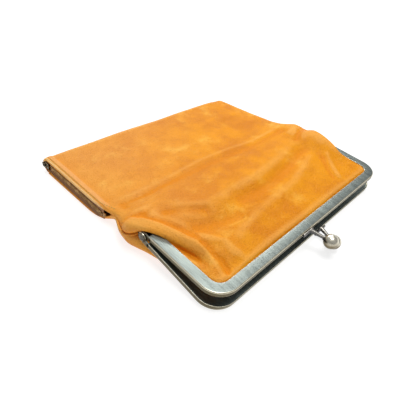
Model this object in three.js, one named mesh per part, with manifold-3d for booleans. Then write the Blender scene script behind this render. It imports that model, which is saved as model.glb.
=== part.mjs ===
// A leather coin purse lying on its back: a kiss-lock frame of two U-shaped channels riveted
// together at the ends of their arms, a leather pouch held in the channels, and behind the pouch
// a flat zipped pocket. Millimetres, +X along the frame's long side, -Y towards the clasp, +Z up.
import * as THREE from 'three';
import { mergeVertices } from 'three/addons/utils/BufferGeometryUtils.js';
import Module from 'manifold-3d';

const wasm = await Module();
wasm.setup();

// Driving dimensions.
const GAP = 0.3; // between neighbouring pieces
const WALL = 0.7; // sheet metal of the frame
const FACE = 7.0; // width of a frame channel
const REACH = 63.5; // hinge axis to the front of the upper half
const UPPER = { halfWidth: 94.5, reach: REACH, corner: 14 };
const LOWER = { halfWidth: 95.6, reach: REACH + WALL + GAP, corner: 15 };
const UPPER_TILT = THREE.MathUtils.degToRad(3.2); // how far each half slopes down to the front
const LOWER_TILT = THREE.MathUtils.degToRad(10.6);
const UPPER_BASE = 0.4; // heights above the half's own plane through the hinge axis
const UPPER_TOP = 3.7;
const LOWER_BASE = -4.6;
const LOWER_TOP = -0.5;
const RIM_STEP = 1.1; // the lower half's rim stands above its inner flange
const HINGE_Z = LOWER.reach * Math.sin(LOWER_TILT) - LOWER_BASE * Math.cos(LOWER_TILT);
const EAR_RADIUS = 3.4;
const PIN_RADIUS = 1.2;
const HEAD_RADIUS = 2.6;
const LEATHER = 1.3;
const LINING = 0.6;
const BALL_RADIUS = 4.9;
const BODY_HALF_WIDTH = 98.5;
const POUCH_END = 100; // seam between the pouch and the zipped pocket, behind the frame's front
const FOLD_CENTRE = 177.5; // centre of the fold at the back
const REAR_HEIGHT = 13.2; // thickness of the zipped pocket
const POCKET_START = POUCH_END + 4;
const CHAIN_X = -96; // the zipper's chain stands upright along the left edge
const CHAIN_Z = 6;
const CHAIN_START = 106;
const CHAIN_END = 176;
const TOOTH_PITCH = 2.8;
const CORNER_STEPS = 8;

const STEEL = { color: 0xa0a59c, roughness: 0.35, metalness: 1 };
const HIDE = { color: 0xe58f2a, roughness: 0.55, metalness: 0 };
const CLOTH = { color: 0x5a3a22, roughness: 0.9, metalness: 0 };
const BRASS = { color: 0x9a7a3c, roughness: 0.4, metalness: 1 };
const PAPER = { color: 0xb59a6b, roughness: 0.95, metalness: 0 };

// The hinge axis runs along X through this point; both halves are built around it.
const hinge = new THREE.Vector3(0, REACH, HINGE_Z);
const frameUpper = new THREE.Matrix4().makeRotationX(UPPER_TILT).setPosition(hinge);
const frameLower = new THREE.Matrix4().makeRotationX(LOWER_TILT).setPosition(hinge);

const purse = new THREE.Group();

function toSolid(geometry) {
  const bare = geometry.clone();
  bare.deleteAttribute('normal');
  bare.deleteAttribute('uv');
  const merged = mergeVertices(bare, 1e-4);
  return new wasm.Manifold(new wasm.Mesh({
    numProp: 3,
    vertProperties: new Float32Array(merged.attributes.position.array),
    triVerts: new Uint32Array(merged.index.array),
  }));
}

function toGeometry(solid) {
  const mesh = solid.getMesh();
  const geometry = new THREE.BufferGeometry();
  geometry.setAttribute('position', new THREE.BufferAttribute(mesh.vertProperties, 3));
  geometry.setIndex(new THREE.BufferAttribute(mesh.triVerts, 1));
  geometry.computeVertexNormals();
  return geometry;
}

function add(name, shape, finish) {
  const geometry = shape.isBufferGeometry ? shape : toGeometry(shape);
  const mesh = new THREE.Mesh(geometry, new THREE.MeshStandardMaterial(finish));
  mesh.name = name;
  purse.add(mesh);
  return mesh;
}

// Moves a solid from a half's own plane to its place in the purse.
function placed(solid, matrix) {
  return toSolid(toGeometry(solid).applyMatrix4(matrix));
}

function block(low, high) {
  const size = high.map((value, axis) => value - low[axis]);
  const geometry = new THREE.BoxGeometry(...size);
  geometry.translate(...low.map((value, axis) => value + size[axis] / 2));
  return toSolid(geometry);
}

// An outline of [y, z] points, carried along X from x0 to x1.
function alongX(outline, x0, x1) {
  const shape = new THREE.Shape(outline.map(([y, z]) => new THREE.Vector2(y, z)));
  const geometry = new THREE.ExtrudeGeometry(shape, { depth: x1 - x0, bevelEnabled: false });
  geometry.applyMatrix4(new THREE.Matrix4().set(0, 0, 1, x0, 1, 0, 0, 0, 0, 1, 0, 0, 0, 0, 0, 1));
  return toSolid(geometry);
}

function alongZ(outline, z0, z1) {
  const shape = new THREE.Shape(outline.map(([x, y]) => new THREE.Vector2(x, y)));
  const geometry = new THREE.ExtrudeGeometry(shape, { depth: z1 - z0, bevelEnabled: false });
  geometry.translate(0, 0, z0);
  return toSolid(geometry);
}

function cylinderAlongX(radius, x0, x1, sides = 24) {
  const geometry = new THREE.CylinderGeometry(radius, radius, x1 - x0, sides);
  geometry.rotateZ(Math.PI / 2);
  geometry.translate((x0 + x1) / 2, 0, 0);
  return toSolid(geometry);
}

// The U outline of a half, moved inwards by inset, from the left arm's end round the front.
function uOutline(half, inset, end) {
  const radius = half.corner - inset;
  const side = half.halfWidth - inset - radius;
  const front = -half.reach + inset + radius;
  const points = [[-half.halfWidth + inset, end]];
  for (const [centre, start] of [[-side, Math.PI], [side, 1.5 * Math.PI]]) {
    for (let step = 0; step <= CORNER_STEPS; step += 1) {
      const angle = start + (step / CORNER_STEPS) * 0.5 * Math.PI;
      points.push([centre + radius * Math.cos(angle), front + radius * Math.sin(angle)]);
    }
  }
  points.push([half.halfWidth - inset, end]);
  return points;
}

function uBand(half, outer, inner, end, base, top) {
  const outline = [...uOutline(half, outer, end), ...uOutline(half, inner, end).reverse()];
  return alongZ(outline, base, top);
}

function uRegion(half, inset, end, base, top) {
  return alongZ(uOutline(half, inset, end), base, top);
}

// Frame halves: a face plate, an outer skirt and an inner flange make a channel open to the
// inside of the U; round ears on the arms' ends take the hinge rivets.
function frameHalf(half, plate, skirt, flange, plateEnd) {
  let solid = uBand(half, 0, WALL, -1.5, skirt[0], skirt[1])
    .add(uBand(half, 0, FACE, plateEnd, plate[0], plate[1]))
    .add(uBand(half, 0, FACE - 0.3, plateEnd, flange[0], flange[1]));
  for (const side of [-1, 1]) {
    const edges = [side * half.halfWidth, side * (half.halfWidth - WALL)];
    const ear = cylinderAlongX(EAR_RADIUS, Math.min(...edges), Math.max(...edges));
    const hole = cylinderAlongX(PIN_RADIUS + GAP, Math.min(...edges) - 1, Math.max(...edges) + 1);
    solid = solid.add(ear).subtract(hole);
  }
  return solid;
}

const ARM_END = -5; // the channels stop short of the ears
add('upper_frame_half', placed(frameHalf(
  UPPER,
  [UPPER_TOP - WALL, UPPER_TOP],
  [UPPER_BASE, UPPER_TOP],
  [UPPER_BASE, UPPER_BASE + WALL],
  ARM_END,
), frameUpper), STEEL);
add('lower_frame_half', placed(frameHalf(
  LOWER,
  [LOWER_BASE, LOWER_BASE + WALL],
  [LOWER_BASE, LOWER_TOP],
  [LOWER_TOP - RIM_STEP - WALL, LOWER_TOP - RIM_STEP],
  ARM_END,
), frameLower), STEEL);

// Packing cords: paper cord pressed into each channel outside the leather's edge.
const CORD = [WALL + GAP, WALL + GAP + 1.3];
const UPPER_SLOT = [UPPER_BASE + WALL, UPPER_TOP - WALL];
const LOWER_SLOT = [LOWER_BASE + WALL, LOWER_TOP - RIM_STEP - WALL];
function packingCord(half, slot) {
  return uBand(half, CORD[0], CORD[1], ARM_END, slot[0] + GAP, slot[1] - GAP);
}
add('upper_packing_cord', placed(packingCord(UPPER, UPPER_SLOT), frameUpper), PAPER);
add('lower_packing_cord', placed(packingCord(LOWER, LOWER_SLOT), frameLower), PAPER);

// Hinge rivets: domed head outside, shank through both ears, smaller clinched head inside.
const headSeat = LOWER.halfWidth + GAP;
const clinchSeat = UPPER.halfWidth - WALL - GAP;
const rivetProfile = [
  [0, clinchSeat - 0.8],
  [1.9, clinchSeat - 0.8],
  [1.9, clinchSeat],
  [PIN_RADIUS, clinchSeat],
  [PIN_RADIUS, headSeat],
  [HEAD_RADIUS, headSeat],
  [HEAD_RADIUS, headSeat + 0.3],
  [HEAD_RADIUS * 0.85, headSeat + 0.8],
  [HEAD_RADIUS * 0.5, headSeat + 1.1],
  [0, headSeat + 1.2],
];
for (const [name, side] of [['left_hinge_rivet', -1], ['right_hinge_rivet', 1]]) {
  const points = rivetProfile.map(([radius, along]) => new THREE.Vector2(radius, along));
  const rivet = add(name, new THREE.LatheGeometry(points, 24), BRASS);
  rivet.rotation.z = side * -0.5 * Math.PI;
  rivet.position.copy(hinge);
}

// Kiss-lock: a strip on each half's front skirt bends outwards into an arm that carries a ball.
// The upper ball leans over from the left, the lower one from the right; they pass each other
// with a snap when the frame is pressed shut, and here they stand just before that.
const UPPER_BALL = new THREE.Vector3(-5, -REACH - 14.7, 0.4);
const LOWER_BALL = new THREE.Vector3(2.9, -REACH - 14.7, 4.3);
const STRIP = 0.8;
function claspArm(half, ball, side, levels) {
  const face = -half.reach - GAP;
  const root = ball.x + side * 3.5;
  const stem = ball.y + BALL_RADIUS - 0.1;
  const ordered = (outline) => (side < 0 ? outline.reverse() : outline);
  const strip = ordered([
    [side * 17, face],
    [side * 17, face - STRIP],
    [root - side * 1.8, face - STRIP],
    [root - side * 1.8, face],
  ]);
  const arm = ordered([
    [root + side * 1.8, face - 0.2],
    [root + side * 1.8, face - STRIP - 1.2],
    [ball.x + side * 1.2, stem],
    [ball.x - side * 1.2, stem],
    [root - side * 1.8, face - STRIP - 1.2],
    [root - side * 1.8, face - 0.2],
  ]);
  const riser = ordered([
    [root + side * 1.8, face - 0.1],
    [root + side * 1.8, face - STRIP - 0.4],
    [root - side * 1.8, face - STRIP - 0.4],
    [root - side * 1.8, face - 0.1],
  ]);
  return alongZ(strip, ...levels.strip)
    .add(alongZ(arm, ...levels.arm))
    .add(alongZ(riser, levels.strip[0], levels.arm[1]));
}
function clearOfBall(arm, ball) {
  const hollow = new THREE.SphereGeometry(BALL_RADIUS + GAP, 24, 16);
  hollow.translate(...ball.toArray());
  return arm.subtract(toSolid(hollow));
}
function ballMesh(name, ball, matrix) {
  const geometry = new THREE.SphereGeometry(BALL_RADIUS, 32, 20);
  geometry.translate(...ball.toArray());
  add(name, toSolid(geometry.applyMatrix4(matrix)), STEEL);
}
const upperLevels = { strip: [0.6, 3.1], arm: [0.6, 3.1] };
const upperArm = clearOfBall(claspArm(UPPER, UPPER_BALL, -1, upperLevels), UPPER_BALL);
add('upper_clasp_arm', placed(upperArm, frameUpper), STEEL);
ballMesh('upper_clasp_ball', UPPER_BALL, frameUpper);
const lowerLevels = { strip: [-4.1, -1.4], arm: [2.2, 4.8] };
const lowerArm = clearOfBall(claspArm(LOWER, LOWER_BALL, 1, lowerLevels), LOWER_BALL);
add('lower_clasp_arm', placed(lowerArm, frameLower), STEEL);
ballMesh('lower_clasp_ball', LOWER_BALL, frameLower);

// Leather inside the frame's U: its edge is held in the channel, next to the packing cord.
const HELD = CORD[1] + GAP;
const INSIDE = FACE + 0.5; // inset of the wall that rises or drops from the channel
const MOUTH_END = -8;
// The upper panel swells from the channel at the front to its highest point near the hinge.
const FRONT_Y = -REACH + INSIDE - 1;
const SWELL_FRONT = 4.4;
const SWELL_BACK = 8.6;
const upperSheet = [
  [FRONT_Y, SWELL_FRONT - LEATHER],
  [0, SWELL_BACK - LEATHER],
  [0, SWELL_BACK],
  [FRONT_Y, SWELL_FRONT],
];
const upperWedge = [
  [FRONT_Y, UPPER_SLOT[0] + GAP],
  [0, UPPER_SLOT[0] + GAP],
  [0, SWELL_BACK - 0.5],
  [FRONT_Y, SWELL_FRONT - 0.5],
];
const swellHeights = [UPPER_BASE, SWELL_BACK + 1];
const upperPanel = uBand(UPPER, HELD, INSIDE + LEATHER, MOUTH_END, UPPER_SLOT[0] + GAP, UPPER_SLOT[1] - GAP)
  .add(uBand(UPPER, INSIDE, INSIDE + LEATHER, MOUTH_END, ...swellHeights)
    .intersect(alongX(upperWedge, -UPPER.halfWidth, UPPER.halfWidth)))
  .add(uRegion(UPPER, INSIDE, MOUTH_END, ...swellHeights)
    .intersect(alongX(upperSheet, -UPPER.halfWidth, UPPER.halfWidth)));
add('upper_mouth_leather', placed(upperPanel, frameUpper), HIDE);

// The lower panel drops from the channel to the surface that the purse lies on, runs under the
// hinge and widens behind it.
const FLOOR_DEPTH = -20;
const WIDE = BODY_HALF_WIDTH + 5;
const lowerHeld = [LOWER_SLOT[0] + GAP, LOWER_SLOT[1] - GAP];
const lowerWall = uBand(LOWER, HELD, INSIDE + LEATHER, MOUTH_END, ...lowerHeld)
  .add(uBand(LOWER, INSIDE, INSIDE + LEATHER, MOUTH_END, FLOOR_DEPTH, lowerHeld[1]));
const lowerFloor = uRegion(LOWER, INSIDE, MOUTH_END, FLOOR_DEPTH, lowerHeld[1]);
const aboveFloor = block([-WIDE, -WIDE, 0], [WIDE, WIDE, 2 * HINGE_Z]);
const floorSlab = block([-WIDE, -WIDE, 0], [WIDE, WIDE, LEATHER]);
const bridge = LOWER.halfWidth - INSIDE - 0.1;
const bottom = placed(lowerWall, frameLower).intersect(aboveFloor)
  .add(placed(lowerFloor, frameLower).intersect(floorSlab))
  .add(block([-bridge, REACH - 12, 0], [bridge, REACH + 5, LEATHER]))
  .add(block([-BODY_HALF_WIDTH, REACH + 4, 0], [BODY_HALF_WIDTH, FOLD_CENTRE - GAP, LEATHER]));
add('bottom_leather', bottom, HIDE);

// Top panel behind the hinge: high over the pouch, down across the crease where the pouch
// ends, then flat over the zipped pocket to the fold at the back.
const TOP_START = REACH + 9.5;
const topLine = [
  [TOP_START, 22.5],
  [82, 21],
  [91, 17.5],
  [POUCH_END, 14.4],
  [POCKET_START + 6, REAR_HEIGHT + 0.3],
  [FOLD_CENTRE - GAP, REAR_HEIGHT],
];
// A narrower tongue in front of it reaches under the upper panel's swing.
const TONGUE_HALF_WIDTH = UPPER.halfWidth - INSIDE - LEATHER - GAP;
const tongueLine = [
  [REACH - 4, HINGE_Z + 4.8],
  [REACH + 3, HINGE_Z + 5.8],
  [TOP_START + 1, 22.4],
];
function below(line, drop) {
  return line.map(([y, z]) => [y, z - drop]);
}
function layer(line, outer, inner) {
  return [...below(line, inner), ...below(line, outer).reverse()];
}
const topLeather = alongX(layer(topLine, 0, LEATHER), -BODY_HALF_WIDTH, BODY_HALF_WIDTH)
  .add(alongX(layer(tongueLine, 0, LEATHER), -TONGUE_HALF_WIDTH, TONGUE_HALF_WIDTH));
add('top_leather', topLeather, HIDE);

// Leather turned round the back edge, cut short at the left to leave room for the slider.
function foldProfile(outerRadius, thickness) {
  const arc = [];
  const middle = REAR_HEIGHT / 2;
  for (let step = 0; step <= 12; step += 1) {
    const angle = (step / 12 - 0.5) * Math.PI;
    arc.push([FOLD_CENTRE + outerRadius * Math.cos(angle), middle + outerRadius * Math.sin(angle)]);
  }
  const inner = arc.map(([y, z]) => {
    const shrink = (outerRadius - thickness) / outerRadius;
    return [FOLD_CENTRE + (y - FOLD_CENTRE) * shrink, middle + (z - middle) * shrink];
  });
  return [...arc, ...inner.reverse()];
}
const FOLD_LEFT = -91;
add('back_fold_leather', alongX(foldProfile(REAR_HEIGHT / 2, LEATHER), FOLD_LEFT, BODY_HALF_WIDTH), HIDE);

// Side seams of the pouch: the turned edges of the top and bottom leather, sewn together.
const seamLine = topLine.filter(([y]) => y <= POUCH_END);
const seamOutline = [
  [TOP_START, LEATHER + GAP],
  [POUCH_END, LEATHER + GAP],
  ...below(seamLine, LEATHER + GAP).reverse(),
];
for (const [name, side] of [['left_side_seam', -1], ['right_side_seam', 1]]) {
  const edges = [side * (BODY_HALF_WIDTH - 0.5), side * (BODY_HALF_WIDTH - 0.5 - LEATHER)];
  add(name, alongX(seamOutline, Math.min(...edges), Math.max(...edges)), HIDE);
}
const SEAM_INSIDE = BODY_HALF_WIDTH - 0.5 - LEATHER - GAP;

// The pouch ends at a sewn divider; the zipped pocket lies behind it.
const underTop = REAR_HEIGHT - LEATHER - GAP;
add('pocket_divider', block(
  [-SEAM_INSIDE + 1, POUCH_END + 1, LEATHER + GAP],
  [SEAM_INSIDE - 1, POUCH_END + 2, underTop],
), CLOTH);
add('right_pocket_seam', block(
  [SEAM_INSIDE + GAP, POCKET_START, LEATHER + GAP],
  [BODY_HALF_WIDTH - 0.5, FOLD_CENTRE - 1, underTop],
), HIDE);

// Linings lie against the leather's inner faces.
const liningTop = topLine.filter(([y]) => y <= POUCH_END);
add('pouch_top_lining', alongX(
  layer(liningTop, LEATHER + GAP, LEATHER + GAP + LINING),
  -SEAM_INSIDE,
  SEAM_INSIDE,
), CLOTH);
const liningLow = LEATHER + GAP;
add('pouch_bottom_lining', block(
  [-LOWER.halfWidth + INSIDE + LEATHER + 2, 14, liningLow],
  [LOWER.halfWidth - INSIDE - LEATHER - 2, POUCH_END, liningLow + LINING],
), CLOTH);
const mouthLining = uRegion(UPPER, INSIDE + LEATHER + 1, MOUTH_END, 0, 12).intersect(
  alongX(layer([upperSheet[3], upperSheet[2]], LEATHER + GAP, LEATHER + GAP + LINING), -95, 95),
);
add('upper_mouth_lining', placed(mouthLining, frameUpper), CLOTH);
const POCKET_LINING_RADIUS = REAR_HEIGHT / 2 - LEATHER - GAP;
const pocketLining = alongX(foldProfile(POCKET_LINING_RADIUS, LINING), FOLD_LEFT, SEAM_INSIDE)
  .add(block([FOLD_LEFT, POCKET_START, liningLow], [SEAM_INSIDE, FOLD_CENTRE, liningLow + LINING]))
  .add(block([FOLD_LEFT, POCKET_START, underTop - LINING], [SEAM_INSIDE, FOLD_CENTRE, underTop]));
add('pocket_lining', pocketLining, CLOTH);

// Zipper along the pocket's left edge: tapes, two rows of teeth, stops, slider and pull.
const TAPE_HALF = 0.3;
const ROW_GAP = 0.5; // from the chain's middle to each row, so the slider's post passes between
const TOOTH = 0.7;
function tape(z0, z1) {
  return block([CHAIN_X - TAPE_HALF, CHAIN_START - 1, z0], [CHAIN_X + TAPE_HALF, CHAIN_END + 1, z1]);
}
function teethRow(side) {
  const outline = [];
  const outer = side * (ROW_GAP + TOOTH + 0.6);
  const valley = side * (ROW_GAP + TOOTH);
  const tip = side * ROW_GAP;
  for (let y = CHAIN_START; y < CHAIN_END - TOOTH_PITCH; y += TOOTH_PITCH) {
    const shift = side > 0 ? 0 : TOOTH_PITCH / 2;
    outline.push([y + shift, valley], [y + shift, tip], [y + shift + 1, tip], [y + shift + 1, valley]);
  }
  outline.push([CHAIN_END, valley], [CHAIN_END, outer], [CHAIN_START, outer]);
  const row = outline.map(([y, z]) => [y, CHAIN_Z + z]);
  return alongX(side > 0 ? row.reverse() : row, CHAIN_X - 0.7, CHAIN_X + 0.7);
}
const ROW_OUTER = ROW_GAP + TOOTH + 0.6 + GAP;
add('lower_zipper_tape', tape(LEATHER + GAP, CHAIN_Z - ROW_OUTER), CLOTH);
add('upper_zipper_tape', tape(CHAIN_Z + ROW_OUTER, underTop), CLOTH);
add('lower_zipper_teeth', teethRow(-1), BRASS);
add('upper_zipper_teeth', teethRow(1), BRASS);
add('zipper_end_stop', block(
  [CHAIN_X - 0.8, CHAIN_START - 2.4, CHAIN_Z - 1.6],
  [CHAIN_X + 0.8, CHAIN_START - GAP, CHAIN_Z + 1.6],
), BRASS);

// Slider: two plates joined by a post that runs between the rows, with a bail on the outside.
const SLIDER_START = CHAIN_END + 1.6;
const SLIDER_END = SLIDER_START + 7;
const PLATE = 0.8;
const PLATE_HALF = 2.6;
const inner = CHAIN_X + 0.7 + GAP;
const outer = CHAIN_X - 0.7 - GAP - PLATE;
const BAIL_OUT = outer - 2;
const BAIL = 0.6;
const bailEnds = [SLIDER_START + 1, SLIDER_END - 1];
function sliderBlock(x, y, halfHeight) {
  return block([x[0], y[0], CHAIN_Z - halfHeight], [x[1], y[1], CHAIN_Z + halfHeight]);
}
const slider = sliderBlock([inner, inner + PLATE], [SLIDER_START, SLIDER_END], PLATE_HALF)
  .add(sliderBlock([outer, outer + PLATE], [SLIDER_START, SLIDER_END], PLATE_HALF))
  .add(sliderBlock([outer + 0.4, inner + 0.4], [SLIDER_END - 2, SLIDER_END], 0.2))
  .add(sliderBlock([BAIL_OUT, BAIL_OUT + BAIL], bailEnds, BAIL))
  .add(sliderBlock([BAIL_OUT, outer + 0.4], [bailEnds[0], bailEnds[0] + BAIL], BAIL))
  .add(sliderBlock([BAIL_OUT, outer + 0.4], [bailEnds[1] - BAIL, bailEnds[1]], BAIL));
add('zipper_slider', slider, BRASS);

// Pull: a flat tab whose eye is threaded on the bail; it turns about the bar at its end.
const EYE_X = (outer + BAIL_OUT + BAIL) / 2;
const EYE_START = bailEnds[0] + BAIL + 0.5;
const PULL_THICK = 0.4;
const PULL_BEYOND = 4.5; // how far the tab reaches past the slider
const pullEnds = [EYE_START, SLIDER_END + PULL_BEYOND];
const pull = sliderBlock([EYE_X - PULL_THICK, EYE_X + PULL_THICK], pullEnds, 1.9)
  .subtract(sliderBlock([EYE_X - 2, EYE_X + 2], [EYE_START + 0.7, bailEnds[1] + 0.6], 0.95));
add('zipper_pull', pull, BRASS);

// The origin is the middle of the purse's footprint, on the surface that it lies on.
const bounds = new THREE.Box3().setFromObject(purse);
const middle = bounds.getCenter(new THREE.Vector3());
purse.position.set(-middle.x, -middle.y, -bounds.min.z);

export default purse;
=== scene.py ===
import math

import bmesh
import bpy
import numpy as np
from mathutils import Matrix, Vector, noise
from mathutils.bvhtree import BVHTree


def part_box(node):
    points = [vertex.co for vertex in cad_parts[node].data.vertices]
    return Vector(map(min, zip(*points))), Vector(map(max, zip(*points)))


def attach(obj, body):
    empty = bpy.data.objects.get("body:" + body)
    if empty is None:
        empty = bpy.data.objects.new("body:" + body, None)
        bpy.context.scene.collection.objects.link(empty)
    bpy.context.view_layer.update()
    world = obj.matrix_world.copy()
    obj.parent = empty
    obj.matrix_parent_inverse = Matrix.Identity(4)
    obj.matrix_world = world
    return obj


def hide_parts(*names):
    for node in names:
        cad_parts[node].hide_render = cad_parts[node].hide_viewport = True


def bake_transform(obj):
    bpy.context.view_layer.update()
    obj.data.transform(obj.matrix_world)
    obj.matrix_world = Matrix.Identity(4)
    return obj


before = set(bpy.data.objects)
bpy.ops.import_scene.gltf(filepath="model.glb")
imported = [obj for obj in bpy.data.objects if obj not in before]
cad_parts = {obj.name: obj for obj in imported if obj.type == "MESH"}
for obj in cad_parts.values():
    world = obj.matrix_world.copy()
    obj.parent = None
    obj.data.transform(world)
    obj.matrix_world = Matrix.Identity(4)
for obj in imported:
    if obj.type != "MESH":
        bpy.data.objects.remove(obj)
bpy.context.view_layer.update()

# --- Floor, light and camera -------------------------------------------------------------
# The purse lies on its back on a pale table. A wide soft light stands beyond it, so that level
# leather and the frame's faces catch its reflection and slopes stay deeper in colour.
floor_mesh = bmesh.new()
bmesh.ops.create_grid(floor_mesh, x_segments=1, y_segments=1, size=6.0)
floor_data = bpy.data.meshes.new("table_top")
floor_mesh.to_mesh(floor_data)
floor_mesh.free()
floor = bpy.data.objects.new("table_top", floor_data)
bpy.context.scene.collection.objects.link(floor)
floor_paint = bpy.data.materials.new("pale_table")
floor_paint.use_nodes = True
floor_shader = floor_paint.node_tree.nodes["Principled BSDF"]
floor_shader.inputs["Base Color"].default_value = (0.36, 0.36, 0.36, 1)
floor_shader.inputs["Roughness"].default_value = 0.8
floor_shader.inputs["Specular IOR Level"].default_value = 0.1
floor_shader.inputs["Emission Color"].default_value = (1, 1, 1, 1)
floor_shader.inputs["Emission Strength"].default_value = 0.77
floor_data.materials.append(floor_paint)

world = bpy.data.worlds.new("studio")
world.use_nodes = True
world.node_tree.nodes["Background"].inputs["Color"].default_value = (0.97, 0.98, 1.0, 1)
sky = world.node_tree.nodes["Background"]
path = world.node_tree.nodes.new("ShaderNodeLightPath")
glow = world.node_tree.nodes.new("ShaderNodeMapRange")  # the backdrop is paler than its light
glow.inputs["To Min"].default_value = 0.30
glow.inputs["To Max"].default_value = 0.92
world.node_tree.links.new(path.outputs["Is Camera Ray"], glow.inputs["Value"])
world.node_tree.links.new(glow.outputs[0], sky.inputs["Strength"])
bpy.context.scene.world = world
bpy.context.scene.view_settings.view_transform = "Standard"


def soft_light(name, place, target, size, power, colour):
    lamp = bpy.data.lights.new(name, "AREA")
    lamp.shape = "RECTANGLE"
    lamp.size, lamp.size_y = size
    lamp.energy = power
    lamp.color = colour
    holder = bpy.data.objects.new(name, lamp)
    holder.location = place
    direction = Vector(target) - Vector(place)
    holder.rotation_euler = direction.to_track_quat("-Z", "Y").to_euler()
    bpy.context.scene.collection.objects.link(holder)


soft_light("window_light", (0.62, 0.62, 0.72), (0, 0, 0), (0.75, 0.38), 7.1, (1.0, 0.985, 0.96))
soft_light("ceiling_light", (0.02, -0.10, 1.25), (0, 0, 0), (0.5, 0.5), 8.9, (1.0, 0.985, 0.96))

VIEW_RIGHT = Vector((0.7013, -0.7082, 0.0815))
VIEW_UP = Vector((0.4222, 0.5048, 0.7529))
camera_data = bpy.data.cameras.new("camera")
camera_data.sensor_width = 36
camera_data.lens = 31.58
camera_data.clip_start = 0.01
camera = bpy.data.objects.new("camera", camera_data)
view_back = VIEW_RIGHT.cross(VIEW_UP).normalized()
view_up = view_back.cross(VIEW_RIGHT).normalized()
turned = Matrix((VIEW_RIGHT.normalized(), view_up, view_back)).transposed()
camera.matrix_world = Matrix.Translation((-0.18512, -0.14824, 0.17520)) @ turned.to_4x4()
bpy.context.scene.collection.objects.link(camera)
bpy.context.scene.camera = camera

# --- Frame halves ------------------------------------------------------------------------
# Two U-shaped channels rolled from steel strip, plated in antique brass and brushed. The colour
# follows the way each surface faces: the rounded shoulders are pale, partly plating rubbed through
# by polish and partly a painted highlight, and the upright skirts and inner walls are painted dark, as
# shade.
MM = 0.001
UPPER_HALF_WIDTH = 94.5
UPPER_REACH = 63.5
UPPER_CORNER = 14
UPPER_TILT = math.radians(3.2)
LOWER_HALF_WIDTH = 95.6
LOWER_REACH = 64.5
LOWER_CORNER = 15
LOWER_TILT = math.radians(10.6)
ARM_END = -5
HINGE = Vector((0.65, -21.304, 16.387))  # the hinge axis, in millimetres
CORNER_STEPS = 20
SHARP_ANGLE = math.radians(38)


class Wire:
    """One output of a material's node. Arithmetic on it adds Math nodes to the same material."""

    def __init__(self, socket):
        self.socket = socket
        self.tree = socket.id_data

    def node(self, kind, settings, values, output=0):
        made = self.tree.nodes.new(kind)
        for name, value in settings.items():
            setattr(made, name, value)
        for name, value in values.items():
            if isinstance(value, Wire):
                self.tree.links.new(value.socket, made.inputs[name])
            else:
                made.inputs[name].default_value = value
        return Wire(made.outputs[output])

    def maths(self, operation, *values):
        return self.node("ShaderNodeMath", {"operation": operation}, dict(enumerate(values)))

    def __add__(self, other):
        return self.maths("ADD", self, other)

    def __sub__(self, other):
        return self.maths("SUBTRACT", self, other)

    def __rsub__(self, other):
        return self.maths("SUBTRACT", other, self)

    def __mul__(self, other):
        return self.maths("MULTIPLY", self, other)

    __radd__ = __add__
    __rmul__ = __mul__

    def between(self, low, high):
        """0 below low and 1 above high, with a soft step."""
        values = {"Value": self, "From Min": low, "From Max": high}
        return self.node("ShaderNodeMapRange", {"interpolation_type": "SMOOTHSTEP"}, values)

    def mixed(self, first, second):
        """A colour: first where this is 0, second where it is 1."""
        values = {0: self, 6: first, 7: second}
        return self.node("ShaderNodeMix", {"data_type": "RGBA"}, values, 2)

    def part(self, axis):
        """One of a vector's three numbers."""
        return self.node("ShaderNodeSeparateXYZ", {}, {0: self}, axis)

    def noise(self, scale, detail=4.0, roughness=0.55):
        values = {"Vector": self, "Scale": scale, "Detail": detail, "Roughness": roughness}
        return self.node("ShaderNodeTexNoise", {}, values)

    def stretched(self, scale):
        return self.node("ShaderNodeMapping", {}, {"Vector": self, "Scale": scale})


def new_finish(name, constants):
    """A material with its shader's constant sockets set, and its Object coordinates and Normal."""
    material = bpy.data.materials.new(name)
    material.use_nodes = True
    shader = material.node_tree.nodes["Principled BSDF"]
    for socket, value in constants.items():
        shader.inputs[socket].default_value = value
    coordinates = material.node_tree.nodes.new("ShaderNodeTexCoord")
    return material, shader, Wire(coordinates.outputs["Object"]), Wire(coordinates.outputs["Normal"])


def feed(shader, **wires):
    """Joins wires to the shader's sockets, named with underscores for spaces."""
    for name, wire in wires.items():
        wire.tree.links.new(wire.socket, shader.inputs[name.replace("_", " ")])


def bumped(height, strength, distance):
    values = {"Height": height, "Strength": strength, "Distance": distance}
    return height.node("ShaderNodeBump", {}, values)


def brushed_metal(name, face, skirt, wear_and_highlight):
    material, shader, place, normal = new_finish(name, {"Metallic": 1.0})
    up = normal.part(2)
    upright = up.maths("ABSOLUTE", up)
    strokes = place.stretched((1.0, 0.018, 1.0)).noise(2600.0, 3.0, 0.6)
    long_strokes = place.stretched((1.0, 0.03, 1.0)).noise(700.0, 2.0, 0.5)
    stain = place.noise(60.0, 3.0)
    # by facing: level faces take the brushed face colour, upright skirts the skirt colour as painted
    # shade, and the shoulders between the pale colour, partly wear and partly a painted highlight
    level = upright.between(0.90, 0.985)
    shoulder = upright.between(0.12, 0.4) * (1 - level)
    grain = (strokes * 0.6 + long_strokes * 0.4).between(0.3, 0.72)
    face_colour = grain.mixed(
        tuple(0.80 * c for c in face) + (1,), tuple(min(1.0, 1.12 * c) for c in face) + (1,))
    face_colour = (stain.between(0.45, 0.75) * 0.25).mixed(face_colour, tuple(skirt) + (1,))
    skirt_shade_colour = (stain * 0.5).mixed(tuple(skirt) + (1,), tuple(1.9 * c for c in skirt) + (1,))
    colour = level.mixed(skirt_shade_colour, face_colour)
    colour = (shoulder * (0.85 + stain * 0.15)).mixed(colour, tuple(wear_and_highlight) + (1,))
    feed(
        shader,
        Base_Color=colour,
        Roughness=0.30 + grain * 0.16 + stain * 0.08 - shoulder * 0.08,
        Normal=bumped(grain, 0.12, 0.00012),
    )
    return material


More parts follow.
